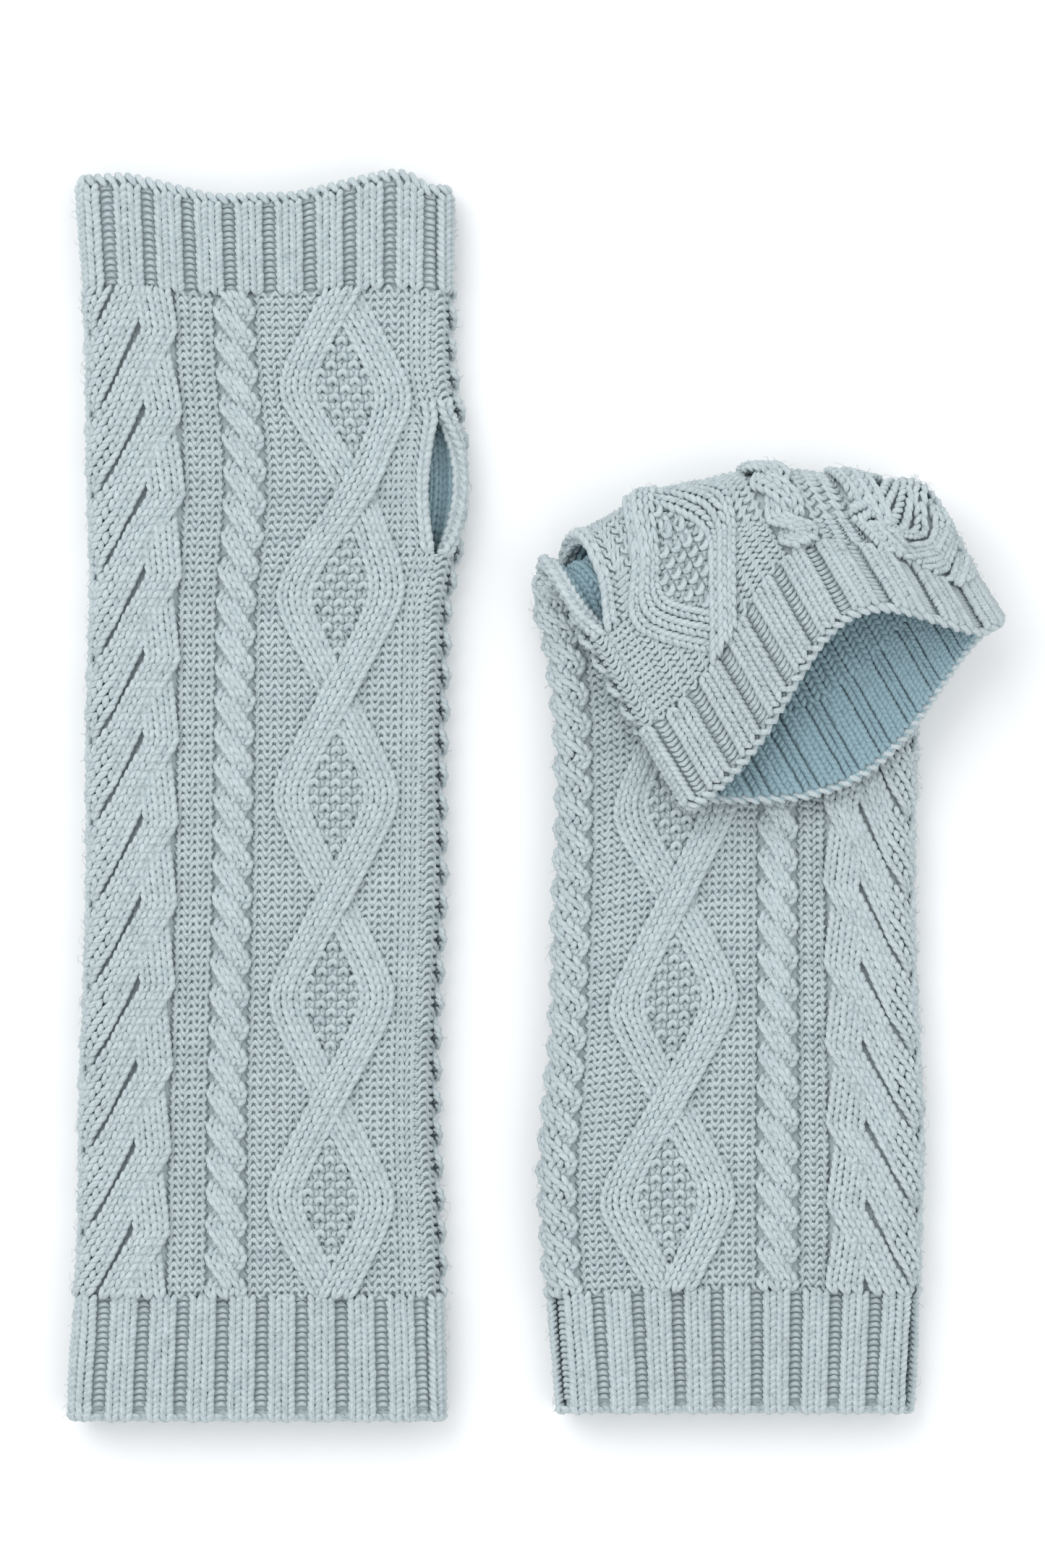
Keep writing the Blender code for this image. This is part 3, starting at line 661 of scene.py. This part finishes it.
def add_cloth(parts, glove, span, low, high, depths, band):
    """A closed thin cloth between two places round and two heights along the tube."""
    columns = max(2, math.ceil((span[1] - span[0]) / 1.6))
    around = np.linspace(span[0], span[1], columns + 1)
    across = across_of(around)
    bottom, top = low(across), high(across)
    rows = max(2, math.ceil(float((top - bottom).mean()) / 2.0))
    share = np.linspace(0, 1, rows + 1)
    up = bottom[:, None] + share * (top - bottom)[:, None]
    around = around[:, None] + 0 * up
    inner, _ = glove.wall(around, up, depths[0] + 0 * up)
    outer, _ = glove.wall(around, up, depths[1] + 0 * up)
    points = np.concatenate([outer.reshape(-1, 3), inner.reshape(-1, 3)])
    layer = (columns + 1) * (rows + 1)
    c, r = (g.ravel() for g in np.meshgrid(np.arange(columns), np.arange(rows), indexing="ij"))

    def vertex(column, row, sheet):
        return sheet * layer + column * (rows + 1) + row

    front = np.stack([vertex(c, r, 0), vertex(c + 1, r, 0), vertex(c + 1, r + 1, 0),
                      vertex(c, r + 1, 0)], axis=1)
    back = np.stack([vertex(c, r, 1), vertex(c, r + 1, 1), vertex(c + 1, r + 1, 1),
                     vertex(c + 1, r, 1)], axis=1)
    k, m = np.arange(columns), np.arange(rows)
    walls = np.concatenate([
        np.stack([vertex(k + 1, 0, 1), vertex(k + 1, 0, 0), vertex(k, 0, 0), vertex(k, 0, 1)], axis=1),
        np.stack([vertex(k, rows, 0), vertex(k + 1, rows, 0), vertex(k + 1, rows, 1),
                  vertex(k, rows, 1)], axis=1),
        np.stack([vertex(0, m, 0), vertex(0, m + 1, 0), vertex(0, m + 1, 1), vertex(0, m, 1)], axis=1),
        np.stack([vertex(columns, m + 1, 1), vertex(columns, m + 1, 0), vertex(columns, m, 0),
                  vertex(columns, m, 1)], axis=1)])

    def sheet_map(faces, left):
        local = faces % layer
        u, v = local // (rows + 1) / columns, local % (rows + 1) / rows
        return np.stack([left + 0.01 + 0.46 * u, band * (0.03 + 0.94 * v)], axis=-1)

    ply = [np.zeros((*faces.shape, 2)) for faces in (front, back, walls)]
    thin = np.stack([0.985 + 0.01 * np.array([0, 1, 1, 0.0]), band * np.array([0.1, 0.1, 0.9, 0.9])], axis=-1)
    atlas = (sheet_map(front, 0.0), sheet_map(back, 0.49), np.broadcast_to(thin, (*walls.shape, 2)))
    # Outer sheet slightly darker as painted shade between the stitches; inner sheet in the painted shade of
    # the tube's inside.
    parts.add(points, np.repeat([CLOTH_SHADE_TONE, INSIDE_SHADE_TONE], layer), (front, back, walls), ply, atlas)


def fuzz(glove, groups):
    """Paths and radii of fine stray fibres standing off a share of the stitches."""
    paths = np.concatenate([g[0][:, g[0].shape[1] // 2] for g in groups])
    chosen = paths[random.random(len(paths)) < FIBRE_SHARE]
    chosen = chosen[chosen[:, 2] > 0]
    count = len(chosen)
    heading = random.uniform(0, 2 * math.pi, (count, 1))
    bend = random.normal(0, 0.9, (count, 1))
    reach = random.uniform(1.2, 3.6, (count, 1))
    lift = random.uniform(0.25, 1.5, (count, 1))
    share = np.linspace(0, 1, 3)
    around = chosen[:, 0:1] + np.cos(heading + bend * share) * reach * share
    up = chosen[:, 1:2] + np.sin(heading + bend * share) * reach * share
    depth = chosen[:, 2:3] + 0.6 + lift * np.sin(share * 2.2)
    up = np.clip(up, 0.2, GLOVE_LENGTH - 0.2)
    return np.stack([around, up, depth], axis=-1), np.array([0.045, 0.038, 0.02]) + 0 * up


def make_piece(glove, name, materials, slot):
    groups = list(glove.yarn.get(name, []))
    if groups:
        paths, thickness = fuzz(glove, groups)
        groups.append((paths, thickness, 3, np.full(len(paths), FIBRE_TONE)))
    cells = sum(len(group[0]) for group in groups)
    grid = max(1, math.ceil(math.sqrt(cells)))
    band = 0.28 if name in glove.cloth else 0.0
    parts = MeshParts()
    if name in glove.cloth:
        add_cloth(parts, glove, *glove.cloth[name], band)
    cell = 0
    for paths, thickness, sides, tone in groups:
        cell = add_tubes(parts, glove, paths, thickness, sides, tone, cell, grid, band)
    whole_name = f"{glove.name}_{name}"
    mesh = parts.mesh(whole_name + "_yarn")
    mesh.materials.append(materials[slot])
    obj = bpy.data.objects.new(whole_name + "_yarn", mesh)
    bpy.context.scene.collection.objects.link(obj)
    arm, hand = glove.name + "_arm", glove.name + "_hand"
    if name.startswith(("wrist_fold", "thumb_edge")):
        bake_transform(obj)
    else:
        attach(obj, arm if name.startswith(("arm", "cuff", "cast")) else hand)
    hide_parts(whole_name)
    return obj


def slot_of(name):
    for word, slot in (("rib", "rib_knit"), ("purl", "purl_knit"), ("braid", "braid_cable"),
                       ("rope", "rope_cable"), ("diamond", "diamond_cable"), ("seam", "seam_yarn"),
                       ("thumb", "thumb_edge"), ("wrist", "wrist_knit"), ("edge", "edge_chain")):
        if word in name:
            return slot
    raise ValueError(name)


def wool_group():
    """Node group: the colour and the bump of soft plied wool, from its own named sockets, with painted shade:
    negative tones darken the colour and pull it toward the blue-grey Inside colour.
    """
    group = bpy.data.node_groups.new("Plied wool", "ShaderNodeTree")
    face = group.interface
    face.new_socket("Colour", in_out="INPUT", socket_type="NodeSocketColor")
    inside = face.new_socket("Inside", in_out="INPUT", socket_type="NodeSocketColor")
    inside.default_value = (0.62, 0.78, 0.84, 1)
    for name, value in (("Ply depth", 0.5), ("Fibre depth", 0.35), ("Heather", 0.5)):
        face.new_socket(name, in_out="INPUT", socket_type="NodeSocketFloat").default_value = value
    face.new_socket("Colour", in_out="OUTPUT", socket_type="NodeSocketColor")
    face.new_socket("Normal", in_out="OUTPUT", socket_type="NodeSocketVector")
    nodes, link = group.nodes, group.links.new
    given, result = nodes.new("NodeGroupInput"), nodes.new("NodeGroupOutput")

    def maths(operation, a, b=None, c=None):
        node = nodes.new("ShaderNodeMath")
        node.operation = operation
        for socket, value in zip(node.inputs, (a, b, c)):
            if value is None:
                continue
            if isinstance(value, (int, float)):
                socket.default_value = value
            else:
                link(value, socket)
        return node.outputs[0]

    def noise(vector, scale, detail, rough=0.6):
        node = nodes.new("ShaderNodeTexNoise")
        link(vector, node.inputs["Vector"])
        node.inputs["Scale"].default_value = scale
        node.inputs["Detail"].default_value = detail
        node.inputs["Roughness"].default_value = rough
        return node.outputs["Fac"]

    ply_map = nodes.new("ShaderNodeUVMap")
    ply_map.uv_map = "Ply"
    split = nodes.new("ShaderNodeSeparateXYZ")
    link(ply_map.outputs["UV"], split.inputs[0])
    twist = maths("SINE", maths("MULTIPLY", maths("ADD", maths("MULTIPLY", split.outputs[1], 3.0),
                                                  maths("MULTIPLY", split.outputs[0], 0.62)), 2 * math.pi))
    place = nodes.new("ShaderNodeTexCoord").outputs["Object"]
    fibre = noise(place, 1700, 3, 0.7)
    heather = noise(place, 420, 2)
    cloud = noise(place, 26, 2)
    tone = nodes.new("ShaderNodeAttribute")
    tone.attribute_name = "tone"
    shade = maths("ADD", maths("MULTIPLY", maths("SUBTRACT", fibre, 0.5), 0.30),
                  maths("MULTIPLY", maths("SUBTRACT", heather, 0.5), 0.22))
    shade = maths("ADD", shade, maths("MULTIPLY", twist, 0.035))
    shade = maths("ADD", shade, maths("MULTIPLY", maths("SUBTRACT", cloud, 0.5), 0.10))
    shade = maths("MULTIPLY", shade, given.outputs["Heather"])
    shade = maths("ADD", shade, maths("MULTIPLY", maths("MAXIMUM", tone.outputs["Fac"], -3.0), 0.018))
    shade = maths("ADD", shade, 1.0)
    scaled = nodes.new("ShaderNodeVectorMath")
    scaled.operation = "SCALE"
    link(given.outputs["Colour"], scaled.inputs[0])
    link(shade, scaled.inputs["Scale"])
    # Painted shade: the more negative the tone, the more the colour is multiplied by the blue-grey of the
    # shaded inside of the tube.
    inside_shade = nodes.new("ShaderNodeMix")
    inside_shade.data_type, inside_shade.blend_type = "RGBA", "MULTIPLY"
    link(maths("MINIMUM", maths("MAXIMUM", maths("MULTIPLY", tone.outputs["Fac"], -0.05), 0.0), 1.0),
         inside_shade.inputs[0])
    link(scaled.outputs[0], inside_shade.inputs[6])
    link(given.outputs["Inside"], inside_shade.inputs[7])
    link(inside_shade.outputs[2], result.inputs["Colour"])
    height = maths("ADD", maths("MULTIPLY", maths("MULTIPLY", twist, given.outputs["Ply depth"]), 0.5),
                   maths("MULTIPLY", fibre, given.outputs["Fibre depth"]))
    bump = nodes.new("ShaderNodeBump")
    bump.inputs["Strength"].default_value = 0.7
    bump.inputs["Distance"].default_value = 0.00035
    link(height, bump.inputs["Height"])
    link(bump.outputs["Normal"], result.inputs["Normal"])
    return group


def wool(name, group, colour, ply, fibre, heather):
    material = bpy.data.materials.new(name)
    material.use_nodes = True
    nodes, link = material.node_tree.nodes, material.node_tree.links.new
    shader = nodes["Principled BSDF"]
    yarn = nodes.new("ShaderNodeGroup")
    yarn.node_tree = group
    yarn.inputs["Colour"].default_value = (*colour, 1)
    yarn.inputs["Ply depth"].default_value = ply
    yarn.inputs["Fibre depth"].default_value = fibre
    yarn.inputs["Heather"].default_value = heather
    link(yarn.outputs["Colour"], shader.inputs["Base Color"])
    link(yarn.outputs["Normal"], shader.inputs["Normal"])
    shader.inputs["Roughness"].default_value = 0.92
    shader.inputs["Specular IOR Level"].default_value = 0.15
    shader.inputs["Sheen Weight"].default_value = 0.12
    shader.inputs["Sheen Roughness"].default_value = 0.5
    shader.inputs["Sheen Tint"].default_value = (0.92, 0.97, 1.0, 1)
    return material


def plain(name, colour):
    material = bpy.data.materials.new(name)
    material.use_nodes = True
    shader = material.node_tree.nodes["Principled BSDF"]
    shader.inputs["Base Color"].default_value = (*colour, 1)
    shader.inputs["Roughness"].default_value = 0.9
    shader.inputs["Specular IOR Level"].default_value = 0.0
    return material


def light(name, place, aim, size, energy):
    lamp = bpy.data.lights.new(name, "AREA")
    lamp.shape = "SQUARE"
    lamp.size = size
    lamp.energy = energy
    obj = bpy.data.objects.new(name, lamp)
    obj.location = place
    way = np.array(aim, float) - np.array(place, float)
    tilt = math.atan2(math.hypot(way[0], way[1]), -way[2])
    obj.rotation_euler = (tilt, 0, math.atan2(way[1], way[0]) - math.pi / 2)
    bpy.context.scene.collection.objects.link(obj)


WOOL = (0.515, 0.588, 0.610)
group = wool_group()
MATERIALS = {
    "rib_knit": wool("rib knit wool", group, WOOL, 0.5, 0.6, 1.0),
    "purl_knit": wool("purl ground wool", group, (0.512, 0.585, 0.607), 0.45, 0.6, 1.0),
    "braid_cable": wool("braid wool", group, (0.522, 0.594, 0.616), 0.5, 0.6, 1.0),
    "rope_cable": wool("rope wool", group, (0.522, 0.594, 0.616), 0.5, 0.6, 1.0),
    "diamond_cable": wool("diamond wool", group, (0.522, 0.594, 0.616), 0.5, 0.6, 1.0),
    "edge_chain": wool("edge wool", group, (0.530, 0.602, 0.623), 0.6, 0.6, 1.0),
    "seam_yarn": wool("seam wool", group, (0.505, 0.578, 0.600), 0.6, 0.5, 1.0),
    "thumb_edge": wool("thumb edge wool", group, (0.522, 0.594, 0.616), 0.5, 0.6, 1.0),
    "wrist_knit": wool("wrist wool", group, (0.518, 0.591, 0.613), 0.5, 0.6, 1.0),
}

LEFT = Glove("left", -68.74, -156.1, LEFT_OUTLINE, 30.0, 9.4)
RIGHT = Glove("right", 50.26, -154.1, RIGHT_OUTLINE, 28.6, 5.0)
KINDS = ["braid_cable", "side_seam", "purl_ground_a", "purl_ground_b", *ROPES, *DIAMONDS]
PIECES = (["cast_on_edge", "cuff_rib_a", "cuff_rib_b", "wrist_fold_a", "wrist_fold_b", "thumb_edge_a",
           "thumb_edge_b", "finger_rib_a", "finger_rib_b", "bind_off_edge"]
          + [f"{part}_{kind}" for part in ("arm", "hand") for kind in KINDS])
for glove in (LEFT, RIGHT):
    knit(glove)
    back_with_cloth(glove)
    for piece in PIECES:
        make_piece(glove, piece, MATERIALS, slot_of(piece))

# The table, the light and the camera.
FLOOR = 3.0
VIEW_HEIGHT = 0.3902     # how much of the table the camera takes in, top to bottom
CAMERA_DISTANCE = 3.0
floor_mesh = bpy.data.meshes.new("floor")
floor_mesh.from_pydata([(-FLOOR, -FLOOR, 0), (FLOOR, -FLOOR, 0), (FLOOR, FLOOR, 0), (-FLOOR, FLOOR, 0)],
                       [], [(0, 1, 2, 3)])
floor_mesh.materials.append(plain("white table", (0.955, 0.96, 0.965)))
floor = bpy.data.objects.new("floor", floor_mesh)
bpy.context.scene.collection.objects.link(floor)

world = bpy.data.worlds.new("studio")
world.use_nodes = True
world.node_tree.nodes["Background"].inputs["Color"].default_value = (0.97, 0.985, 1.0, 1)
world.node_tree.nodes["Background"].inputs["Strength"].default_value = 0.86
bpy.context.scene.world = world
light("key", (-1.0, 1.1, 1.8), (0, 0, 0), 1.9, 24)
light("fill", (1.3, -0.6, 1.7), (0, 0, 0), 1.6, 8)

camera_data = bpy.data.cameras.new("camera")
camera_data.sensor_fit = "VERTICAL"
camera_data.sensor_height = 36
camera_data.lens = camera_data.sensor_height * CAMERA_DISTANCE / VIEW_HEIGHT
camera_data.clip_end = 20
camera = bpy.data.objects.new("camera", camera_data)
camera.location = (-0.0033, 0.0025, CAMERA_DISTANCE + 0.012)
bpy.context.scene.collection.objects.link(camera)
bpy.context.scene.camera = camera
bpy.context.scene.view_settings.view_transform = "Standard"
